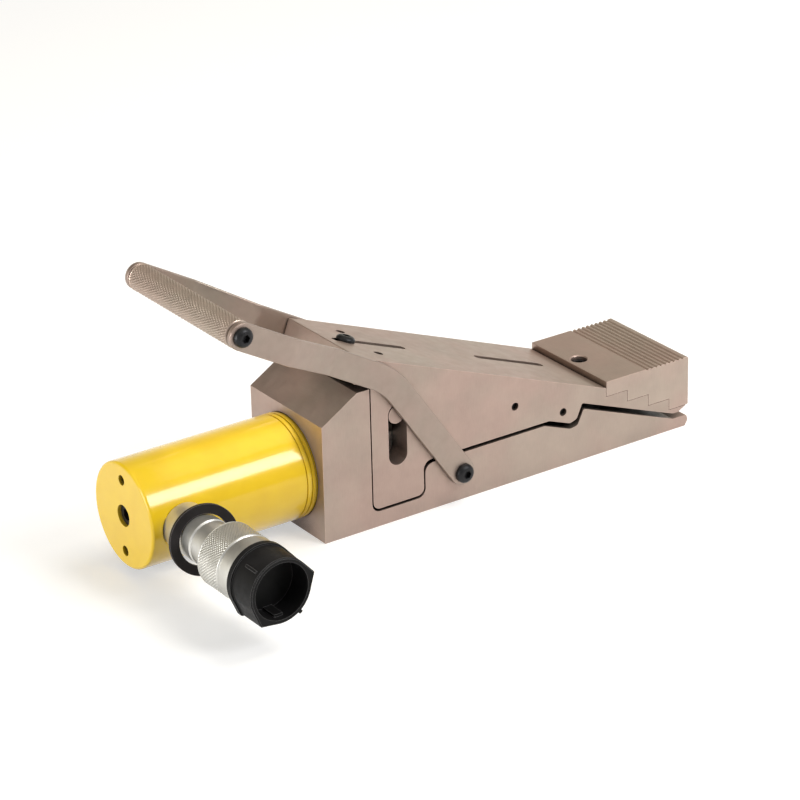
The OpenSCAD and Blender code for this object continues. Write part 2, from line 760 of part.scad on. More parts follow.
// The wedge, with an upright T-slot in its rear face for the plunger's nose
module drive_wedge() {
    front_x = wedge_x + wedge_l;
    color(bright_steel) from_rear() difference() {
        side_view(wedge_w) polygon(rounded([
            [wedge_x, wedge_bottom_z, 0.6],
            [wedge_x, wedge_top_z, 0.6],
            [front_x, wedge_z(front_x), 0.6],
            [front_x, wedge_bottom_z, 0.6]
        ]));
        t_cut(wedge_x - cut, wedge_x + t_stem_l, t_stem_d + 2 * t_fit);
        t_cut(wedge_x + t_stem_l - t_fit, wedge_x + t_stem_l + t_head_l + t_fit, t_head_d + 2 * t_fit);
    }
}

module t_cut(x0, x1, d) {
    on_axis(x0) cylinder(h = x1 - x0, d = d, $fn = round_fn);
    translate([x0, -d / 2, axis_z]) cube([x1 - x0, d, wedge_top_z]);
}

module retaining_pin() {
    color(bright_steel) from_rear() cross_hole(pin_x, pin_z, pin_d, body_w - 2 * pin_sunk);
}

// Two extension springs hang from screws in the roof and hook under the retaining pin
module jaw_springs() {
    color(bright_steel) from_rear() for (s = [-1, 1])
        translate([pin_x, s * jaw_spring_y, 0]) wire(jaw_spring_path, jaw_wire_d, [0, 1, 0]);
}

module spring_screws() {
    z1 = top_z(pin_x) - spring_screw_sunk;
    color(black_oxide) from_rear() for (s = [-1, 1])
        translate([pin_x, s * jaw_spring_y, 0]) difference() {
            translate([0, 0, z1 - spring_screw_l])
                cylinder(h = spring_screw_l, d = spring_screw_d, $fn = fine_fn);
            socket_recess(z1, 3, 2.5);
        }
}

// The painted cylinder, screwed into the block; its oil port is on the right side
module cylinder_barrel() {
    r = barrel_d / 2;
    groove = 0.6;
    groove_at = [-7, -4];
    color(paint_yellow) from_rear() difference() {
        on_axis() rotate_extrude($fn = 2 * round_fn) polygon(concat(
            [[0, -barrel_l]],
            [for (i = [0 : 6])
                let (a = -90 + 15 * i)
                [r - barrel_edge_r * (1 - cos(a)), barrel_edge_r * (1 + sin(a)) - barrel_l]],
            [for (g = groove_at) each [[r, g], [r - groove, g + 0.2], [r - groove, g + 0.9], [r, g + 1.1]]],
            [[r, -1.2], [r - 0.5, -0.7], [r - 0.5, barrel_front_x], [0, barrel_front_x]]
        ));
        on_axis(bore_bottom_x) cylinder(h = barrel_l + barrel_front_x, d = bore_d, $fn = round_fn);
        on_axis(-barrel_l - cut) cylinder(h = recess_depth + cut, d = base_recess_d, $fn = round_fn);
        on_axis(-barrel_l) cylinder(h = base_t + cut, d = anchor_d + 0.2, $fn = fine_fn);
        for (s = [-1, 1]) translate([0, 0, s * base_hole_spacing / 2])
            on_axis(-barrel_l - cut) cylinder(h = base_hole_depth + cut, d = base_hole_d, $fn = fine_fn);
        at_port() {
            translate([0, 0, port_bottom]) cylinder(h = barrel_d, d = port_d, $fn = round_fn);
            translate([0, 0, spotface]) cylinder(h = barrel_d, d = spotface_d, $fn = round_fn);
        }
        translate([port_x, -oil_hole_y, axis_z]) rotate([0, 90, 0])
            cylinder(h = bore_bottom_x - port_x + cut, d = oil_hole_d, $fn = fine_fn);
    }
}

module gland_nut() {
    color(bright_steel) from_rear() on_axis() difference() {
        ring(bore_d - 2 * thread_fit, plunger_d + 2 * running_fit, gland_x, barrel_front_x);
        translate([0, 0, barrel_front_x - 5]) cylinder(h = 3, d = plunger_d + 3, $fn = round_fn);
    }
}

module wiper_seal() {
    color(rubber_black) from_rear() on_axis()
        ring(plunger_d + 2.9, plunger_d + 2 * running_fit, barrel_front_x - 4.9, barrel_front_x - 2.1);
}

module plunger() {
    color(bright_steel) from_rear() on_axis() difference() {
        union() {
            translate([0, 0, piston_x]) cylinder(h = piston_l, d = piston_d, $fn = round_fn);
            translate([0, 0, piston_x]) cylinder(h = wedge_seat_x - piston_x, d = plunger_d, $fn = round_fn);
        }
        translate([0, 0, piston_x - cut])
            cylinder(h = plunger_bore_end_x - piston_x + cut, d = plunger_bore_d, $fn = round_fn);
        translate([0, 0, plunger_bore_end_x - cut]) cylinder(
            h = wedge_seat_x - plunger_bore_end_x + 2 * cut, d = nose_d + 2 * thread_fit, $fn = fine_fn);
        ring(bore_d + 2, seal_groove_d, seal_groove_x, seal_groove_x + seal_groove_l);
        ring(bore_d + 2, bearing_groove_d, bearing_x, bearing_x + bearing_l);
    }
}

module piston_seal() {
    color(rubber_black) from_rear() on_axis()
        ring(bore_d - 0.1, seal_groove_d + 0.1, seal_groove_x + 0.05, seal_groove_x + seal_groove_l - 0.05);
}

module piston_bearing() {
    color(bronze) from_rear() on_axis()
        ring(bore_d - 0.1, bearing_groove_d + 0.1, bearing_x + 0.05, bearing_x + bearing_l - 0.05);
}

module plunger_spring() {
    color(bright_steel) from_rear() on_axis(plunger_coil_x)
        wire(plunger_spring_path, plunger_wire_d, [1, 0, 0]);
}

// The bolt in the base that anchors the return spring's rear plug
module anchor_bolt() {
    head_x = recess_depth - barrel_l - anchor_head_l;
    color(black_oxide) from_rear() on_axis(head_x) difference() {
        union() {
            cylinder(h = anchor_head_l - 0.02, d = anchor_head_d, $fn = round_fn);
            cylinder(h = bore_bottom_x + plug_l - 1 - head_x, d = anchor_d, $fn = fine_fn);
        }
        translate([0, 0, -cut]) cylinder(h = 4 + cut, d = 6 / cos(30), $fn = 6);
    }
}

module rear_spring_plug() {
    color(bright_steel) from_rear() on_axis()
        ring(plug_d, anchor_d + 2 * thread_fit, bore_bottom_x + 0.02, bore_bottom_x + plug_l);
}

module front_spring_plug() {
    color(bright_steel) from_rear() on_axis()
        ring(plug_d, anchor_d + 2 * thread_fit, plunger_bore_end_x - plug_l, plunger_bore_end_x - 0.02);
}

// The button on the plunger's nose that hooks into the wedge's T-slot
module plunger_nose() {
    color(bright_steel) from_rear() on_axis() union() {
        translate([0, 0, plunger_bore_end_x - plug_l + 1])
            cylinder(h = plug_l, d = anchor_d, $fn = fine_fn);
        translate([0, 0, plunger_bore_end_x + 0.5])
            cylinder(h = wedge_seat_x - plunger_bore_end_x, d = nose_d, $fn = fine_fn);
        translate([0, 0, wedge_seat_x + 0.02]) cylinder(h = t_stem_l, d = t_stem_d, $fn = round_fn);
        translate([0, 0, wedge_seat_x + t_stem_l]) cylinder(h = t_head_l, d = t_head_d, $fn = round_fn);
    }
}

module coupler_nipple() {
    color(bright_steel) from_rear() at_port() difference() {
        union() {
            translate([0, 0, port_bottom + 1])
                cylinder(h = spotface - port_bottom, d = port_d - 2 * thread_fit, $fn = round_fn);
            rotate_extrude($fn = round_fn) polygon([
                [0, spotface + 0.02],
                [neck_d / 2, spotface + 0.02],
                [neck_d / 2, nipple_end - neck_edge],
                [neck_d / 2 - neck_edge, nipple_end],
                [spigot_d / 2, nipple_end],
                [spigot_d / 2, nipple_end + spigot_l],
                [0, nipple_end + spigot_l]
            ]);
        }
        cylinder(h = nipple_end + spigot_l + cut, d = 7, $fn = fine_fn);
    }
}

module coupler_body() {
    color(bright_steel) from_rear() at_port() difference() {
        rotate_extrude($fn = round_fn) polygon([
            [0, nipple_end + 0.04],
            [neck_d / 2 - neck_edge, nipple_end + 0.04],
            [body_neck_d / 2, nipple_end + 0.04 + neck_edge],
            [body_neck_d / 2, collar_start - 1.5],
            [inner_body_d / 2, collar_start - 0.3],
            [inner_body_d / 2, body_end],
            [0, body_end]
        ]);
        translate([0, 0, nipple_end - cut])
            cylinder(h = spigot_l + cut + 0.2, d = spigot_d + 2 * thread_fit, $fn = round_fn);
        translate([0, 0, nipple_end - cut]) cylinder(h = collar_l, d = 6, $fn = fine_fn);
        translate([0, 0, valve_bore_start])
            cylinder(h = valve_bore_end - valve_bore_start, d = valve_bore_d, $fn = round_fn);
        translate([0, 0, valve_bore_start]) cylinder(h = collar_l, d = valve_hole_d, $fn = fine_fn);
        translate([0, 0, body_end - socket_l]) cylinder(h = socket_l + cut, d = socket_d, $fn = round_fn);
        round_ring(inner_body_d + 0.4, snap_wire_d + 0.3, snap_at);
        round_ring(socket_d - 0.6, seal_wire_d + 0.2, seal_at);
    }
}

// The knurled collar spins on the coupler's body
module coupler_collar() {
    band_z = collar_end - collar_band_l;
    color(bright_steel) from_rear() at_port() difference() {
        rotate_extrude($fn = round_fn) polygon([
            [collar_bore_d / 2, collar_start],
            [collar_d / 2 - 1, collar_start],
            [collar_d / 2, collar_start + 1],
            [collar_d / 2, band_z - 1],
            [collar_d / 2 - 0.8, band_z - 0.6],
            [collar_d / 2 - 0.8, band_z],
            [collar_d / 2 - 0.3, band_z + 0.6],
            [collar_d / 2 - 0.3, collar_end - 0.6],
            [collar_d / 2 - 0.9, collar_end],
            [collar_bore_d / 2, collar_end]
        ]);
        round_ring(collar_bore_d - 0.2, snap_wire_d + 0.5, snap_at);
    }
}

// Split wire ring that keeps the collar on the coupler's body
module collar_snap_ring() {
    color(bright_steel) from_rear() at_port() difference() {
        round_ring(inner_body_d + 0.4, snap_wire_d, snap_at);
        translate([0, -1, snap_at - snap_wire_d]) cube([collar_d, 2, 2 * snap_wire_d]);
    }
}

// The valve that a mating coupler pushes in
module coupler_valve() {
    color(bright_steel) from_rear() at_port() rotate_extrude($fn = round_fn) polygon([
        [0, valve_bore_end - valve_head_l - 4],
        [2.4, valve_bore_end - valve_head_l - 4],
        [2.4, valve_bore_end - valve_head_l],
        [valve_head_d / 2, valve_bore_end - valve_head_l],
        [valve_head_d / 2, valve_bore_end - 0.7],
        [valve_hole_d / 2 - 0.6, valve_bore_end - 0.05],
        [valve_hole_d / 2 - 0.6, valve_bore_end + 2],
        [1.8, valve_bore_end + 5.5],
        [0, valve_bore_end + 5.5]
    ]);
}

module valve_spring() {
    color(bright_steel) from_rear() at_port() wire(valve_spring_path, valve_wire_d, [1, 0, 0]);
}

module coupler_seal() {
    color(rubber_black) from_rear() at_port() round_ring(socket_d - 0.6, seal_wire_d, seal_at);
}

// Angle between an ear at distance d and the points where the flat sides leave the round of radius r
function ear_reach(d, r) = acos(r / d);

// Points on a round of radius r, from angle a0 to a1
function arc_points(r, a0, a1, n) =
    [for (i = [0 : n]) let (a = a0 + (a1 - a0) * i / n) [r * cos(a), r * sin(a), 0]];

// Front view of the cap, grown by g: a round with two ears to pull it by, joined to it by flat sides
module cap_outline(g = 0) {
    r = cap_d / 2 + g;
    front = cap_front_ear;
    rear = cap_rear_ear;
    front_d = front[1] + g;
    rear_d = rear[1] + g;
    polygon(rounded(concat(
        arc_points(r, front[0] + ear_reach(front_d, r), rear[0] - ear_reach(rear_d, r), 36),
        [[rear_d * cos(rear[0]), rear_d * sin(rear[0]), cap_ear_r]],
        arc_points(r, rear[0] + ear_reach(rear_d, r), 360 + front[0] - ear_reach(front_d, r), 20),
        [[front_d * cos(front[0]), front_d * sin(front[0]), cap_ear_r]]
    )));
}

// Plastic cap over the coupler's mouth, with an open cup in front
module dust_cap() {
    r = cap_d / 2;
    cup_floor = cap_web_start + cap_web_t;
    color(plastic_black) from_rear() at_port() difference() {
        union() {
            translate([0, 0, cap_start]) linear_extrude(height = cap_rim_l) cap_outline(cap_rim_t);
            translate([0, 0, cap_start + cap_rim_l - 0.01])
                linear_extrude(height = cap_end - 0.7 - cap_start - cap_rim_l) cap_outline();
            translate([0, 0, cap_end - 0.8]) linear_extrude(height = 0.8) cap_outline(-0.6);
            rotate([0, 0, cap_lug_at]) translate([r - 2, -1, cap_end - 4]) cube([2.8, 2, 4]);
            rotate([0, 0, cap_rib_at]) translate([r - 2, -0.7, cap_end - 3 - cap_rib_l])
                cube([2.7, 1.4, cap_rib_l]);
        }
        difference() {
            translate([0, 0, cup_floor]) cylinder(h = cap_l, d = cap_cup_d, $fn = round_fn);
            rotate([0, 0, cap_tab_at]) translate([cap_cup_d / 2 - 1.4, -2.5, cup_floor - cut])
                cube([3, 5, cap_end - cup_floor - 4 + cut]);
        }
        translate([0, 0, cap_start - cut])
            cylinder(h = cap_web_start - cap_start + cut, d = inner_body_d + 0.6, $fn = round_fn);
    }
}

// Loose ring of the cap's tether, hanging on the nipple's neck
module tether_ring() {
    color(rubber_black) from_rear() translate([port_x, -ring_at, axis_z + ring_drop]) rotate(ring_tilt)
        rotate([90, 0, 0]) translate([0, 0, -ring_t / 2]) ring(ring_outer_d, ring_inner_d, 0, ring_t);
}

// Side view of an arm: pivot, bend and grip joined by a band of even width
module arm_outline() {
    p0 = [pivot_x, pivot_z];
    p1 = [bend_x, bend_z];
    p2 = [grip_x, grip_z];
    n0 = [-(p1 - p0)[1], (p1 - p0)[0]] / norm(p1 - p0);
    n1 = [-(p2 - p1)[1], (p2 - p1)[0]] / norm(p2 - p1);
    h = arm_w / 2;
    miter = h * (n0 + n1) / (1 + n0 * n1);
    e0 = p0 - h * unit(p1 - p0);
    e2 = p2 + h * unit(p2 - p1);
    end_r = h - 0.01;
    polygon(rounded([
        [e0[0] + h * n0[0], e0[1] + h * n0[1], end_r],
        [p1[0] + miter[0], p1[1] + miter[1], bend_r - h],
        [e2[0] + h * n1[0], e2[1] + h * n1[1], end_r],
        [e2[0] - h * n1[0], e2[1] - h * n1[1], end_r],
        [p1[0] - miter[0], p1[1] - miter[1], bend_r + h],
        [e0[0] - h * n0[0], e0[1] - h * n0[1], end_r]
    ]));
}

// An arm on side s: the band is cut from a plate that steps outward towards the grip,
// with its folds square to the arm's sloped run
module handle_arm(s) {
    y0 = arm_inner_y;
    x0 = -arm_step_at;
    x1 = -arm_step_at - arm_step_l;
    far = 300;
    color(steel_tan) from_rear() difference() {
        intersection() {
            side_view(far) arm_outline();
            translate([bend_x, 0, bend_z]) rotate([0, arm_run_angle, 0])
                linear_extrude(height = far, center = true) polygon([for (p = [
                    [far, y0], [x0, y0], [x1, y0 + arm_step], [-far, y0 + arm_step],
                    [-far, y0 + arm_step + arm_t], [x1, y0 + arm_step + arm_t],
                    [x0, y0 + arm_t], [far, y0 + arm_t]
                ]) [p[0], s * p[1]]]);
        }
        cross_hole(pivot_x, pivot_z, bush_d + 2 * running_fit, far);
        cross_hole(grip_x, grip_z, screw_d + 2 * 0.1, far);
    }
}

module handle_arm_right() {
    handle_arm(-1);
}

module handle_arm_left() {
    handle_arm(1);
}

module grip_bar() {
    bevel = 0.8;
    color(steel_tan) from_rear() translate([grip_x, 0, grip_z]) rotate([90, 0, 0]) difference() {
        rotate_extrude($fn = round_fn) polygon([
            [0, -grip_half_l],
            [grip_d / 2 - bevel, -grip_half_l],
            [grip_d / 2, -grip_half_l + bevel],
            [grip_d / 2, grip_half_l - bevel],
            [grip_d / 2 - bevel, grip_half_l],
            [0, grip_half_l]
        ]);
        for (s = [0, 180]) rotate([s, 0, 0]) translate([0, 0, grip_half_l - grip_thread_l - 1])
            cylinder(h = grip_thread_l + 2, d = screw_d + 2 * thread_fit, $fn = fine_fn);
    }
}

module grip_screws() {
    color(black_oxide) from_rear() for (s = [-1, 1])
        translate([grip_x, s * (arm_inner_y + arm_step + arm_t + 0.02), grip_z]) rotate([-s * 90, 0, 0])
            button_screw(button_d, button_h, screw_d, arm_t + grip_thread_l);
}

module pivot_screws() {
    color(black_oxide) from_rear() for (s = [-1, 1])
        translate([pivot_x, s * button_seat_y, pivot_z]) rotate([-s * 90, 0, 0])
            button_screw(button_d, button_h, screw_d, button_seat_y - half_w + pivot_thread_l - 0.7);
}

// Bushes that the arms turn on, clamped between the body and the screws' heads
module pivot_bushes() {
    color(bright_steel) from_rear() for (s = [-1, 1])
        translate([pivot_x, s * (half_w + 0.02), pivot_z]) rotate([-s * 90, 0, 0])
            ring(bush_d, screw_d + 2 * thread_fit, 0, button_seat_y - half_w - 0.04);
}

module pivot_washers() {
    color(bright_steel) from_rear() for (s = [-1, 1])
        translate([pivot_x, s * (half_w + 0.02), pivot_z]) rotate([-s * 90, 0, 0])
            ring(arm_w - 1, bush_d + 0.2, 0, washer_t);
}

main_body();
upper_jaw();
jaw_ramp();
jaw_dowels();
step_block();
step_block_screw();
slot_screw();
slot_nut();
drive_wedge();
retaining_pin();
jaw_springs();
spring_screws();
cylinder_barrel();
gland_nut();
wiper_seal();
plunger();
piston_seal();
piston_bearing();
plunger_spring();
anchor_bolt();
rear_spring_plug();
front_spring_plug();
plunger_nose();
coupler_nipple();
coupler_body();
coupler_collar();
collar_snap_ring();
coupler_valve();
valve_spring();
coupler_seal();
dust_cap();
tether_ring();
handle_arm_right();
handle_arm_left();
grip_bar();
grip_screws();
pivot_screws();
pivot_bushes();
pivot_washers();
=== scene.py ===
"""Looks of the hydraulic wedge spreader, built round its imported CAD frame.

Everything is in metres, in the row frame, and MM turns millimetres into metres.
"""

import math

import bmesh
import bpy
from mathutils import Matrix, Vector


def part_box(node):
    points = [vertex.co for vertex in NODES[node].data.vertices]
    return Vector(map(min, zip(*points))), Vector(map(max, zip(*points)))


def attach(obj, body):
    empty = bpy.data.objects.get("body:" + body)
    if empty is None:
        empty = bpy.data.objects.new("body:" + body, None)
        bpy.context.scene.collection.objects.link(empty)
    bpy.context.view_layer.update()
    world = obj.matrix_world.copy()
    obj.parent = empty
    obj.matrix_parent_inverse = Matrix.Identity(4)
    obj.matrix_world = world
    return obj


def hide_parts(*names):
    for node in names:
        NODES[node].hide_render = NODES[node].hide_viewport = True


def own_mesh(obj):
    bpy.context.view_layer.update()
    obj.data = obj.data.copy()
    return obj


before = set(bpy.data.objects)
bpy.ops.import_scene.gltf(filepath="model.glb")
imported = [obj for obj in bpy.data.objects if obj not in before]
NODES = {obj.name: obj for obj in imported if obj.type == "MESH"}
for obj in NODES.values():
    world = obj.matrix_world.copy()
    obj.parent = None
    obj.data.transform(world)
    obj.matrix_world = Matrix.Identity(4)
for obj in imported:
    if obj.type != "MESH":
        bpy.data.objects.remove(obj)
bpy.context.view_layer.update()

MM = 0.001


# Node trees and materials


class Nodes:
    """A node tree with short ways to add to it. A value may be a socket, a number or a colour."""

    def __init__(self, tree):
        self.tree = tree

    def put(self, value, socket):
        """Links a socket to the other one, or sets that to a plain value."""
        if isinstance(value, bpy.types.NodeSocket):
            self.tree.links.new(value, socket)
        else:
            socket.default_value = value

    def node(self, kind, **values):
        """A new node, with each value on the input of that name, or else on the node itself."""
        n = self.tree.nodes.new("ShaderNode" + kind)
        for key, value in values.items():
            name = key.replace("_", " ")
            if name in n.inputs:
                self.put(value, n.inputs[name])
            else:
                setattr(n, key, value)
        return n

    def math(self, operation, a, b, clamp=False):
        n = self.node("Math", operation=operation, use_clamp=clamp)
        self.put(a, n.inputs[0])
        self.put(b, n.inputs[1])
        return n.outputs[0]

    def dot(self, a, b):
        n = self.node("VectorMath", operation="DOT_PRODUCT")
        self.put(a, n.inputs[0])
        self.put(b, n.inputs[1])
        return n.outputs["Value"]

    def spread(self, value, low, high, to_low=0.0, to_high=1.0):
        """Maps low to high onto another range, and holds it at the ends."""
        n = self.node("MapRange", Value=value, From_Min=low, From_Max=high, To_Min=to_low, To_Max=to_high)
        return n.outputs["Result"]

    def blend(self, fac, a, b, kind="MIX"):
        a, b = (c if isinstance(c, bpy.types.NodeSocket) else (*c, 1) for c in (a, b))
        return self.node("MixRGB", blend_type=kind, Fac=fac, Color1=a, Color2=b).outputs["Color"]

    def ramp(self, fac, stops):
        """A colour ramp. stops holds (position, colour)."""
        n = self.node("ValToRGB", Fac=fac)
        elements = n.color_ramp.elements
        while len(elements) < len(stops):
            elements.new(0.5)
        for e, (position, colour) in zip(elements, stops):
            e.position = position
            e.color = (*colour, 1)
        return n.outputs["Color"]

    def mix_shaders(self, fac, a, b):
        n = self.node("MixShader")
        for value, socket in zip((fac, a, b), n.inputs):
            self.put(value, socket)
        return n.outputs[0]

    def straight(self):
        """1 for what the camera sees straight, 0 for everything else."""
        return self.node("LightPath").outputs["Is Camera Ray"]

    def not_straight(self):
        """0 for what the camera sees straight, 1 for everything else."""
        return self.math("SUBTRACT", 1.0, self.straight())

    def seen(self):
        """1 for what the camera sees, straight or in gloss and glass, and 0 for light that only spreads."""
        rays = self.node("LightPath").outputs
        either = self.math("ADD", rays["Is Camera Ray"], rays["Is Glossy Ray"], clamp=True)
        return self.math("ADD", either, rays["Is Transmission Ray"], clamp=True)


# Noise seldom leaves this band
NOISE_BAND = (0.3, 0.7)


class Material(Nodes):
    """A node material with a Principled shader, and the textures that the finishes share."""

    def __init__(self, name, **sockets):
        self.mat = bpy.data.materials.new(name)
        self.mat.use_nodes = True
        super().__init__(self.mat.node_tree)
        self.shader = self.tree.nodes["Principled BSDF"]
        self.set(**sockets)

    def set(self, **sockets):
        for key, value in sockets.items():
            self.put(value, self.shader.inputs[key.replace("_", " ")])

    def noise(self, scale, detail=3.0, rough=0.55, stretch=(1, 1, 1)):
        """Noise in object coordinates, which stretch scales differently along X, Y and Z."""
        place = self.node("Mapping", Vector=self.node("TexCoord").outputs["Object"], Scale=stretch)
        n = self.node("TexNoise", Vector=place.outputs["Vector"], Scale=scale, Detail=detail, Roughness=rough)
        return n.outputs["Fac"]

    def cloud(self, scale, detail=3.0, rough=0.55, low=0.0, high=1.0):
        """Noise with its usual band spread from low to high."""
        return self.spread(self.noise(scale, detail, rough), *NOISE_BAND, low, high)

    def edges(self, radius, low=0.002, high=0.05):
        """1 on edges rounder than the radius, 0 on flats."""
        bevel = self.node("Bevel", samples=6, Radius=radius)
        level = self.dot(bevel.outputs["Normal"], self.node("NewGeometry").outputs["Normal"])
        return self.spread(level, 1 - low, 1 - high)

    def painted_shade_mask(self, distance, low, high):
        """0 deep in gaps, grooves and narrow holes, 1 in the open: the mask for painted shade."""
        n = self.node("AmbientOcclusion", samples=8, Distance=distance)
        return self.spread(n.outputs["AO"], low, high)

    def bump(self, height, strength, distance):
        """Adds a bump over the ones that the shader has."""
        n = self.node("Bump", Height=height, Strength=strength, Distance=distance)
        last = self.shader.inputs["Normal"]
        if last.is_linked:
            self.put(last.links[0].from_socket, n.inputs["Normal"])
        self.put(n.outputs["Normal"], last)


def shade(colour, factor, lift=0.0):
    return tuple(min(1, c * factor + lift) for c in colour)


def tinted(colour, factors):
    return tuple(c * f for c, f in zip(colour, factors))


def coated_steel(name, tint, rough=0.40, streaks=(60, 6, 6)):
    """Satin nickel-like coating over milled steel: cloudy tone, cooler patches, faint streaks, edges lighter
    for wear and painted highlight, painted shade in seams, slots and gaps.
    """
    m = Material(name, Metallic=0.72, IOR=1.6)
    cool = tinted(tint, (0.93, 1.03, 1.01))
    patch = m.spread(m.noise(16, detail=3, rough=0.6), 0.40, 0.62)
    dark = m.blend(patch, shade(tint, 0.86), shade(cool, 0.86))
    base = m.blend(m.cloud(38, detail=4, rough=0.6), dark, m.blend(patch, tint, cool))
    streak = m.noise(30, detail=2, rough=0.5, stretch=streaks)
    base = m.blend(m.spread(streak, *NOISE_BAND, 0.0, 0.14), base, shade(tint, 1.25))
    # Edges painted lighter in patches: partly wear on the coating, partly a painted highlight
    worn_and_highlit = m.math("MULTIPLY", m.edges(0.0006), m.cloud(300, low=0.2, high=0.7))
    base = m.blend(worn_and_highlit, base, shade(tint, 1.35, 0.02))
    # Painted shade: dark in narrow seams and grooves, about a millimetre across
    base = m.blend(m.painted_shade_mask(0.0011, 0.06, 0.48), shade(tint, 0.12), base)
    # Painted shade: near black deep in slots, gaps and under overhangs
    base = m.blend(m.painted_shade_mask(0.020, 0.13, 0.42), shade(tint, 0.010), base)
    m.set(Base_Color=base, Roughness=m.cloud(180, detail=4, low=rough - 0.05, high=rough + 0.07))
    m.bump(m.noise(1500, detail=2), strength=0.10, distance=0.0001)
    m.bump(streak, strength=0.08, distance=0.0002)
    return m.mat


def plain_metal(name, colour, rough, ring=(1, 1, 1), metallic=1.0):
    """Machined or plated metal. ring stretches the grain along an axis, as turning does."""
    m = Material(name, Metallic=metallic)
    base = m.blend(m.cloud(90, detail=4), shade(colour, 0.82), colour)
    # Painted shade: darker in narrow grooves and gaps, such as the knurling
    base = m.blend(m.painted_shade_mask(0.0008, 0.25, 0.80), shade(colour, 0.10), base)
    grain = m.noise(900, detail=3, rough=0.6, stretch=ring)
    m.set(Base_Color=base, Roughness=m.spread(grain, *NOISE_BAND, rough - 0.06, rough + 0.06))
    m.bump(grain, strength=0.08, distance=0.0001)
    return m.mat


def enamel(name, colour):
    """Gloss enamel: slight tone changes, fine orange peel, painted shade only in deep grooves and holes."""
    m = Material(
        name, Roughness=0.34, Specular_IOR_Level=0.15, Coat_Weight=1.0, Coat_Roughness=0.15, IOR=1.45
    )
    base = m.blend(m.cloud(60), tinted(colour, (0.94, 0.90, 0.75)), colour)
    # Painted shade: dark brown deep in holes, grooves and where the barrel meets other parts
    base = m.blend(m.painted_shade_mask(0.012, 0.22, 0.52), (0.10, 0.075, 0.025), base)
    m.set(Base_Color=base)
    m.bump(m.noise(700, detail=2, rough=0.5), strength=0.05, distance=0.0002)
    m.bump(m.noise(120, detail=2, rough=0.5), strength=0.04, distance=0.0006)
    return m.mat


def moulded(name, colour, rough):
    """Moulded plastic or rubber: fine grain, uneven sheen, painted highlights on the edges."""
    m = Material(name, IOR=1.40, Specular_IOR_Level=0.15)
    base = m.blend(m.cloud(70, detail=4), colour, shade(colour, 1.6, 0.002))
    # Painted highlight: edges much lighter, as rims catch the light
    base = m.blend(m.edges(0.0005), base, shade(colour, 5.0, 0.05))
    m.set(Base_Color=base, Roughness=m.cloud(260, detail=4, low=rough - 0.08, high=rough + 0.1))
    m.bump(m.noise(1400, detail=2), strength=0.12, distance=0.00015)
    return m.mat


# How an even grain is stretched on flat bars, and a turned one along X or Y
FLAT_BAR = (8, 8, 8)
TURNED_X = (14, 1, 1)
TURNED_Y = (1, 14, 1)

TAUPE = coated_steel("jaw_steel", (0.47, 0.345, 0.295))
ARM = coated_steel("arm_steel", (0.405, 0.308, 0.262), streaks=FLAT_BAR)
# The jaw's coating painted lighter on the step block, so that its top and serrations come out brighter
STEP_STEEL_PAINTED_LIGHTER = coated_steel("step_steel", (0.51, 0.378, 0.322))
# The arms' coating painted lighter on the grip, to make up for the painted shade in its knurl
GRIP_STEEL_PAINTED_LIGHTER = coated_steel("grip_steel", (0.49, 0.385, 0.325), streaks=FLAT_BAR)
YELLOW = enamel("yellow_enamel", (0.98, 0.662, 0.016))
ZINC = plain_metal("zinc_plate", (0.76, 0.75, 0.71), rough=0.35, ring=TURNED_Y, metallic=0.85)
KNURL = plain_metal("knurled_zinc", (0.66, 0.65, 0.61), rough=0.37, metallic=0.88)
GROUND = plain_metal("ground_steel", (0.62, 0.60, 0.57), rough=0.28, ring=TURNED_X)
OXIDE = plain_metal("black_oxide", (0.016, 0.016, 0.018), rough=0.40, metallic=0.5)
BRONZE = plain_metal("bearing_bronze", (0.60, 0.38, 0.16), rough=0.38)
PLASTIC = moulded("cap_plastic", (0.0078, 0.0076, 0.0078), rough=0.42)
RUBBER = moulded("ring_rubber", (0.017, 0.015, 0.015), rough=0.55)

FINISH = {
    TAUPE: ["main_body", "upper_jaw", "retaining_pin"],
    STEP_STEEL_PAINTED_LIGHTER: ["step_block"],
    ARM: ["handle_arm_right", "handle_arm_left"],
    GRIP_STEEL_PAINTED_LIGHTER: ["grip_bar"],
    YELLOW: ["cylinder_barrel"],
    ZINC: ["coupler_nipple", "coupler_body", "coupler_collar", "collar_snap_ring", "coupler_valve"],
    GROUND: [
        "jaw_ramp", "drive_wedge", "plunger", "gland_nut", "plunger_nose", "rear_spring_plug",
        "front_spring_plug", "jaw_springs", "plunger_spring", "valve_spring", "pivot_bushes", "pivot_washers",
    ],
    OXIDE: [
        "jaw_dowels", "step_block_screw", "slot_screw", "slot_nut", "spring_screws", "anchor_bolt",
        "grip_screws", "pivot_screws",
    ],
    BRONZE: ["piston_bearing"],
    PLASTIC: ["dust_cap"],
    RUBBER: ["tether_ring", "wiper_seal", "piston_seal", "coupler_seal"],
}
for finish, names in FINISH.items():
    for name in names:
        mesh = NODES[name].data
        mesh.materials.clear()
        mesh.materials.append(finish)


# Rounded edges on the CAD's own pieces

EDGE_WIDTHS = {
    "main_body": 0.0005,
    "upper_jaw": 0.0004,
    "step_block": 0.0002,
    "retaining_pin": 0.0004,
    "dust_cap": 0.0003,
}
WELD_REACH = 2e-6
# Edges that turn by less than this belong to a round face
ROUND_FACE_TURN = math.radians(28)


def soften(name, width):
    """Welds a CAD node's faces and rounds its sharp edges, by modifiers alone."""
    obj = NODES[name]
    obj.modifiers.new("weld", "WELD").merge_threshold = WELD_REACH
    bevel = obj.modifiers.new("round", "BEVEL")
    bevel.width = width
    bevel.segments = 2
    bevel.limit_method = "ANGLE"
    bevel.angle_limit = ROUND_FACE_TURN
    for p in obj.data.polygons:
        p.use_smooth = True
    even_normals(obj)


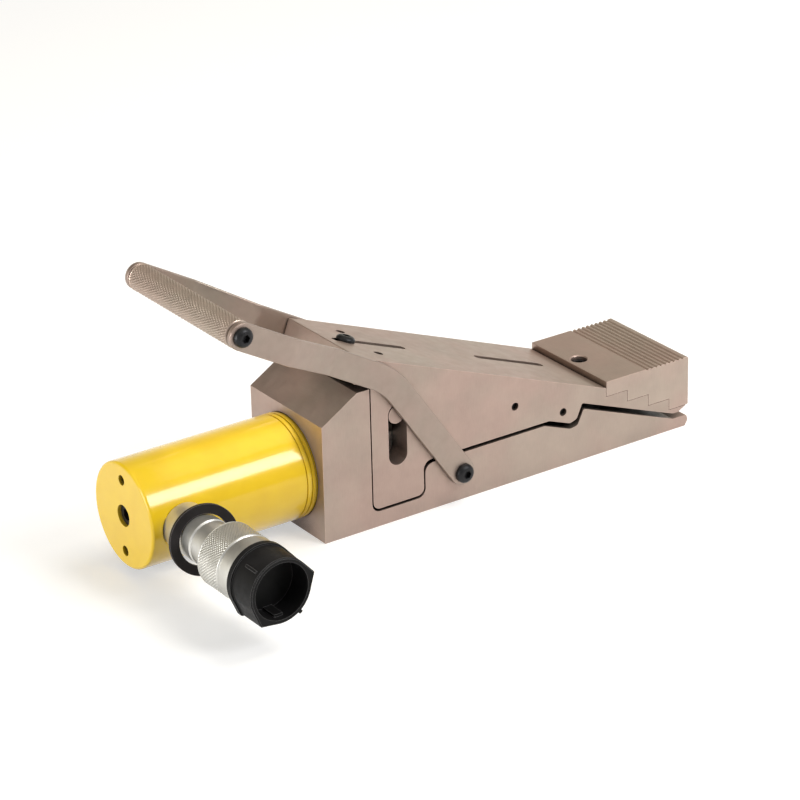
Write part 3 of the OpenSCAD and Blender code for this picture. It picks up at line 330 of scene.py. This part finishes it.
def even_normals(obj):
    """Lets large faces set the shading, so that flats stay flat beside rounded edges."""
    obj.modifiers.new("normals", "WEIGHTED_NORMAL").weight = 100


for name, width in EDGE_WIDTHS.items():
    soften(name, width)


def new_piece(name, bm, mat, body, node):
    """Turns a bmesh into a smooth piece that rides on a body and stands for a CAD node."""
    bmesh.ops.recalc_face_normals(bm, faces=bm.faces)
    mesh = bpy.data.meshes.new(name)
    bm.to_mesh(mesh)
    bm.free()
    mesh.materials.append(mat)
    for p in mesh.polygons:
        p.use_smooth = True
    obj = bpy.data.objects.new(name, mesh)
    bpy.context.scene.collection.objects.link(obj)
    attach(obj, body)
    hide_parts(node)
    return obj


def skin(bm, rings):
    """Faces between rings of as many vertices each."""
    for a, b in zip(rings, rings[1:]):
        for k in range(len(a)):
            after = (k + 1) % len(a)
            bm.faces.new((a[k], a[after], b[after], b[k]))


def middle(node):
    low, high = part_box(node)
    return (low + high) / 2


def extent(node):
    low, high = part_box(node)
    return high - low


# The handle's arms, in millimetres until their points are placed

pivot_middle = middle("pivot_bushes")
grip_middle = middle("grip_bar")
PIVOT = Vector((pivot_middle.x, pivot_middle.z)) / MM
GRIP = Vector((grip_middle.x, grip_middle.z)) / MM
# Where the middle lines of an arm's two runs meet, and how round the bend between them is
BEND = Vector((-78.7, 81.8))
BEND_R = 45.0
BEND_STEPS = 14
# The washers are 0.5 mm smaller than an arm's half width, and the bushes reach 0.18 mm past the arms
ARM_HALF = extent("pivot_washers").z / 2 / MM + 0.5
ARM_THICK = (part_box("pivot_bushes")[1].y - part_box("handle_arm_left")[0].y) / MM - 0.18
ARM_EDGE = 0.6
PIVOT_HOLE_R = 4.1
GRIP_HOLE_R = 3.1
# Length of the faces along an arm, and degrees between points of its round ends
ROW_STEP = 1.6
END_STEP = 15
# Edges between an arm's flats and its rim turn by more than this, in radians
RIM_TURN = 1.0
# Where an arm starts and stops stepping outward, measured along it from its bend, how far, and how round
STEP_START = 39.8
STEP_END = 75.0
STEP_REACH = extent("handle_arm_left").y / MM - ARM_THICK
STEP_ROUND = 1.2


def square_to(u):
    return Vector((-u.y, u.x))


def straight(a, b, u, ends=0):
    n = round((b - a).length / ROW_STEP)
    return [(a + (b - a) * i / n, u) for i in range(n + ends)]


def arm_line():
    """Points and directions along an arm's centre line in X and Z, from pivot to grip."""
    u0 = (BEND - PIVOT).normalized()
    u1 = (GRIP - BEND).normalized()
    turn = u1.angle_signed(u0)
    back = BEND_R * math.tan(abs(turn) / 2)
    first, last = BEND - u0 * back, BEND + u1 * back
    centre = first + square_to(u0) * math.copysign(BEND_R, turn)
    arc = []
    for i in range(BEND_STEPS):
        spin = Matrix.Rotation(turn * i / BEND_STEPS, 2)
        arc.append((centre + spin @ (first - centre), spin @ u0))
    return straight(PIVOT + u0 * ARM_HALF, first, u0) + arc + straight(last, GRIP - u1 * ARM_HALF, u1, 1)


def step_out(x, z):
    """How far an arm has stepped outward at x and z, with rounded bends."""
    along = (Vector((x, z)) - BEND).dot((GRIP - BEND).normalized())
    t = (along - STEP_START) / (STEP_END - STEP_START)
    edge = STEP_ROUND / (STEP_END - STEP_START)
    if t < -edge:
        return 0.0
    if t < edge:
        return STEP_REACH * (t + edge) ** 2 / (4 * edge)
    if t < 1 - edge:
        return STEP_REACH * t
    if t < 1 + edge:
        return STEP_REACH * (1 - (1 + edge - t) ** 2 / (4 * edge))
    return STEP_REACH


def arm_plate(name, node, side):
    """A flat bar with round ends, two holes and rounded edges, which steps outward towards the grip."""
    inner_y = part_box("handle_arm_left")[0].y / MM
    across = [math.tan(math.radians(a)) * ARM_HALF for a in range(-45, 46, END_STEP)]
    bm = bmesh.new()

    def vert(p):
        return bm.verts.new((p.x * MM, 0, p.y * MM))

    line = arm_line()
    rows = [[vert(p + square_to(u) * v) for v in across] for p, u in line]
    for a, b in zip(rows, rows[1:]):
        for k in range(len(across) - 1):
            bm.faces.new((a[k], a[k + 1], b[k + 1], b[k]))

    def end(centre, u, hole_r):
        """Faces round an end's hole, out to the round end and to the bar's last row."""
        for deg in range(0, 360, END_STEP):
            ring = []
            for a in (deg, deg + END_STEP):
                c, d = math.cos(math.radians(a)), math.sin(math.radians(a))
                reach = ARM_HALF / max(abs(c), abs(d)) if c >= 0 else ARM_HALF
                way = u * c + square_to(u) * d
                ring.append([centre + way * (hole_r + (reach - hole_r) * i / 2) for i in range(3)])
            for i in range(2):
                bm.faces.new([vert(q) for q in (ring[0][i], ring[0][i + 1], ring[1][i + 1], ring[1][i])])

    end(PIVOT, line[0][1], PIVOT_HOLE_R)
    end(GRIP, -line[-1][1], GRIP_HOLE_R)
    bmesh.ops.remove_doubles(bm, verts=bm.verts, dist=WELD_REACH)
    out = bmesh.ops.extrude_face_region(bm, geom=bm.faces[:])
    for v in out["geom"]:
        if isinstance(v, bmesh.types.BMVert):
            v.co.y += ARM_THICK * MM
    bmesh.ops.recalc_face_normals(bm, faces=bm.faces)
    rim = [e for e in bm.edges if len(e.link_faces) == 2 and e.calc_face_angle(0) > RIM_TURN]
    bmesh.ops.bevel(
        bm, geom=rim, offset=ARM_EDGE * MM, segments=3, profile=0.5, affect="EDGES", clamp_overlap=True
    )
    for v in bm.verts:
        v.co.y = side * (inner_y * MM + v.co.y + step_out(v.co.x / MM, v.co.z / MM) * MM)
    even_normals(new_piece(name, bm, ARM, "handle", node))


arm_plate("arm_plate_left", "handle_arm_left", 1)
arm_plate("arm_plate_right", "handle_arm_right", -1)


# Knurled pieces

# Points along one pitch of a knurl, along and around
KNURL_STEPS = 6
# Above 1, the knurl's points are cut flat
KNURL_CREST = 1.35
# Length over which a knurl runs out at the ends of its zone, in millimetres
KNURL_FADE = 0.3
SHARP_TURN = math.radians(40)


def knurl_height(s, k, pitch):
    """Height of a diamond knurl from 0 in its grooves to 1 on its points."""
    a = (k / KNURL_STEPS + s / pitch) % 1
    b = (k / KNURL_STEPS - s / pitch) % 1
    return min(1, KNURL_CREST * min(1 - abs(2 * a - 1), 1 - abs(2 * b - 1)))


def knurled(name, place, start, axis, profile, count, pitch, depth, zone, mat):
    """A turned piece about an axis. profile holds (distance, radius) in mm, and zone is knurled."""
    body, node, slot = place
    side = axis.orthogonal().normalized()
    up = axis.cross(side)
    around = count * KNURL_STEPS
    rows = []
    for (s0, r0), (s1, r1) in zip(profile, profile[1:]):
        inside = zone[0] <= min(s0, s1) and max(s0, s1) <= zone[1]
        n = max(1, round(abs(s1 - s0) / pitch * KNURL_STEPS)) if inside else 1
        rows += [(s0 + (s1 - s0) * i / n, r0 + (r1 - r0) * i / n, inside) for i in range(n)]
    closed = profile[0] == profile[-1]
    if not closed:
        rows.append((*profile[-1], False))
    bm = bmesh.new()
    rings = []
    for s, r, inside in rows:
        fade = min(1, max(0, min(s - zone[0], zone[1] - s) / KNURL_FADE)) if inside else 0
        ring = []
        for k in range(around):
            t = 2 * math.pi * k / around
            q = r - depth * fade * (1 - knurl_height(s, k, pitch))
            ring.append(bm.verts.new(start + (axis * s + (side * math.cos(t) + up * math.sin(t)) * q) * MM))
        rings.append(ring)
    if closed:
        rings.append(rings[0])
    skin(bm, rings)
    if not closed:
        bm.faces.new(rings[0])
        bm.faces.new(rings[-1])
    new_piece(name, bm, mat, body, node).data.set_sharp_from_angle(angle=SHARP_TURN)


def grip_tube():
    """The handle's grip: a tube knurled from one end to the other, with narrow necks at the arms."""
    low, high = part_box("grip_bar")
    r = (high.z - low.z) / 2 / MM
    length = (high.y - low.y) / MM
    neck_r = r - 1.4
    neck_l = 0.7
    knurl_start = 1.1
    end = [(0, neck_r), (neck_l, neck_r), (neck_l + 0.1, r - 0.5), (knurl_start, r - 0.05)]
    knurled(
        "grip_tube", ("handle", "grip_bar", "coated_steel"),
        Vector((grip_middle.x, low.y, grip_middle.z)), Vector((0, 1, 0)),
        profile=end + [(length - s, q) for s, q in reversed(end)],
        count=30, pitch=2.9, depth=0.5, zone=(knurl_start, length - knurl_start), mat=GRIP_STEEL_PAINTED_LIGHTER,
    )


def collar_sleeve():
    """The coupler's collar: a knurled zone, a groove and a smooth band, from the nipple's side."""
    low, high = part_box("coupler_collar")
    r = (high.z - low.z) / 2 / MM
    length = (high.y - low.y) / MM
    centre = middle("coupler_collar")
    bore_r = 13.6
    groove_r = r - 0.85
    band_r = r - 0.25
    knurl_start = 1.2
    knurl_end = length - 10.9
    profile = [
        (0, bore_r), (0, r - 1.2), (0.9, r - 0.1), (knurl_start, r), (knurl_end, r),
        (knurl_end + 0.4, r - 0.2), (knurl_end + 0.8, groove_r), (knurl_end + 1.4, groove_r),
        (knurl_end + 2.0, band_r), (length - 0.8, band_r), (length - 0.3, r - 0.4), (length, r - 0.8),
        (length, bore_r), (0, bore_r),
    ]
    knurled(
        "collar_sleeve", ("collar", "coupler_collar", "machined_steel"),
        Vector((centre.x, high.y, centre.z)), Vector((0, -1, 0)),
        profile=profile, count=66, pitch=2.0, depth=0.40, zone=(knurl_start, knurl_end), mat=KNURL,
    )


grip_tube()
collar_sleeve()


# The coupler's spring, built at one length, though the real one shortens as the valve is pushed in

WIRE_R = 0.45 * MM
COIL_TURNS = 5
COIL_STEPS = 24
WIRE_SIDES = 10


def valve_coil():
    """A round wire wound along Y between the valve and the coupler's shoulder, on the nipple's side."""
    low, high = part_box("valve_spring")
    centre = middle("valve_spring")
    r = (high.x - low.x) / 2 - WIRE_R
    length = high.y - low.y - 2 * WIRE_R
    rise = length / (2 * math.pi * COIL_TURNS)
    bm = bmesh.new()
    rings = []
    for i in range(COIL_TURNS * COIL_STEPS + 1):
        t = 2 * math.pi * i / COIL_STEPS
        out = Vector((math.cos(t), 0, math.sin(t)))
        along = Vector((-r * math.sin(t), rise, r * math.cos(t))).normalized()
        across = out.cross(along)
        place = Vector((centre.x, low.y + WIRE_R + rise * t, centre.z)) + out * r
        ring = []
        for k in range(WIRE_SIDES):
            a = 2 * math.pi * k / WIRE_SIDES
            ring.append(bm.verts.new(place + (out * math.cos(a) + across * math.sin(a)) * WIRE_R))
        rings.append(ring)
    skin(bm, rings)
    bm.faces.new(rings[0])
    bm.faces.new(rings[-1])
    obj = new_piece("valve_coil", bm, GROUND, "base", "valve_spring")
    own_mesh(obj)


valve_coil()


# Floor

FLOOR_HALF = 6.0
# The floor's own colour, how much it glows to the eye and in gloss, and its colour for light that spreads
FLOOR_COLOUR = (0.62, 0.62, 0.62, 1)
FLOOR_GLOW = 0.50
FLOOR_SPREAD = (0.55, 0.55, 0.55, 1)
# In gloss the floor turns dim between these values of Y, about a metre in front of the tool
FLOOR_DIM = (0.20, 0.19, 0.18, 1)
DIM_FROM, DIM_TO = -0.8, -1.2
# To the eye it turns plain white between these distances from the origin, so that its end doesn't show
WHITE_FROM, WHITE_TO = 0.8, 1.8


def pale_floor():
    """A plain floor that keeps the object's shadow: near white to the eye, greyer for light that spreads."""
    mesh = bpy.data.meshes.new("floor")
    half = FLOOR_HALF
    corners = [(-half, -half, 0), (half, -half, 0), (half, half, 0), (-half, half, 0)]
    mesh.from_pydata(corners, [], [(0, 1, 2, 3)])
    floor = bpy.data.objects.new("floor", mesh)
    bpy.context.scene.collection.objects.link(floor)
    m = Material(
        "floor_white", Base_Color=FLOOR_COLOUR, Roughness=0.9, Specular_IOR_Level=0.0,
        Emission_Color=(1, 1, 1, 1), Emission_Strength=FLOOR_GLOW,
    )
    place = m.node("NewGeometry").outputs["Position"]
    y = m.node("SeparateXYZ", Vector=place).outputs["Y"]
    dim = m.math("MULTIPLY", m.spread(y, DIM_FROM, DIM_TO), m.not_straight())
    gloss = m.mix_shaders(dim, m.shader.outputs[0], m.node("BsdfDiffuse", Color=FLOOR_DIM).outputs[0])
    mix = m.mix_shaders(m.seen(), m.node("BsdfDiffuse", Color=FLOOR_SPREAD).outputs[0], gloss)
    reach = m.node("VectorMath", operation="LENGTH", Vector=place).outputs["Value"]
    far = m.math("MULTIPLY", m.spread(reach, WHITE_FROM, WHITE_TO), m.straight())
    whole = m.mix_shaders(far, mix, m.node("Emission").outputs[0])
    m.put(whole, m.tree.nodes["Material Output"].inputs["Surface"])
    mesh.materials.append(m.mat)


# Studio

# How bright the studio is at each height of the sky, from the horizon to straight up
SKY = [(0.0, 1.0), (0.14, 1.0), (0.32, 0.60), (0.50, 0.38), (0.66, 0.45), (0.86, 0.95), (1.0, 1.0)]
# How strong the studio is for light that spreads
SKY_SPREAD = 0.50
# A dull warm cloth high behind the tool and the dim room behind the camera, for all but straight sight.
# Each fades by the cosine from its middle.
CLOTH_WAY = Vector((-0.10, 0.70, 0.70)).normalized()
CLOTH = [
    (0.0, (1, 1, 1)), (0.30, (1, 0.965, 0.87)), (0.76, (1, 0.94, 0.80)), (0.90, (0.72, 0.65, 0.53)),
    (0.97, (0.14, 0.12, 0.09)), (1.0, (0.10, 0.09, 0.07)),
]
ROOM_WAY = Vector((0.15, -0.98, 0.05)).normalized()
ROOM = [(0.0, (1, 1, 1)), (0.72, (1, 1, 1)), (0.94, (0.32, 0.30, 0.28)), (1.0, (0.28, 0.26, 0.24))]


def studio_world():
    """A pale studio: white at the horizon, darker half way up, bright overhead."""
    world = bpy.data.worlds.new("studio")
    bpy.context.scene.world = world
    world.use_nodes = True
    w = Nodes(world.node_tree)
    way = w.node("TexCoord").outputs["Generated"]
    height = w.node("SeparateXYZ", Vector=way).outputs["Z"]
    sky = w.ramp(height, [(h, (level, level, level)) for h, level in SKY])
    for heart, fade in ((CLOTH_WAY, CLOTH), (ROOM_WAY, ROOM)):
        sky = w.blend(w.not_straight(), sky, w.ramp(w.dot(way, heart), fade), "MULTIPLY")
    shown = w.tree.nodes["Background"]
    w.put(sky, shown.inputs["Color"])
    spread = w.node("Background", Color=sky, Strength=SKY_SPREAD)
    whole = w.mix_shaders(w.seen(), spread.outputs[0], shown.outputs[0])
    w.put(whole, w.tree.nodes["World Output"].inputs["Surface"])


LIGHT_TARGET = Vector((-0.02, 0, 0.05))


def area_light(name, place, size, energy, colour=(1, 1, 1), in_gloss=True):
    data = bpy.data.lights.new(name, "AREA")
    data.shape = "RECTANGLE"
    data.size, data.size_y = size
    data.energy = energy
    data.color = colour
    obj = bpy.data.objects.new(name, data)
    obj.location = place
    obj.rotation_euler = (LIGHT_TARGET - Vector(place)).to_track_quat("-Z", "Y").to_euler()
    obj.visible_glossy = in_gloss
    bpy.context.scene.collection.objects.link(obj)


# The camera as it was fitted to the photo: focal length in mm on a 36 mm sensor, place in mm, turn in degrees
CAMERA_SENSOR = 36.0
CAMERA_LENS = 153.0955
CAMERA_PLACE = Vector((-963.376, -1346.672, 791.710))
CAMERA_TURN = (65.48397, 1.2748, -34.77703)


def camera_at_the_photo():
    data = bpy.data.cameras.new("camera")
    data.sensor_width = CAMERA_SENSOR
    data.lens = CAMERA_LENS
    data.clip_start = 0.05
    data.clip_end = 50
    camera = bpy.data.objects.new("camera", data)
    camera.rotation_mode = "XYZ"
    camera.location = CAMERA_PLACE * MM
    camera.rotation_euler = [math.radians(a) for a in CAMERA_TURN]
    bpy.context.scene.collection.objects.link(camera)
    bpy.context.scene.camera = camera


pale_floor()
studio_world()
area_light("key", place=(0.55, -1.15, 1.05), size=(0.6, 0.6), energy=14)
area_light(
    "top", place=(0.55, -0.05, 1.30), size=(1.0, 0.7), energy=12, colour=(1.0, 0.96, 0.88), in_gloss=False
)
area_light("left", place=(-1.4, 0.0, 0.12), size=(0.5, 0.8), energy=13)
camera_at_the_photo()
bpy.context.scene.view_settings.view_transform = "Standard"

bpy.context.view_layer.update()
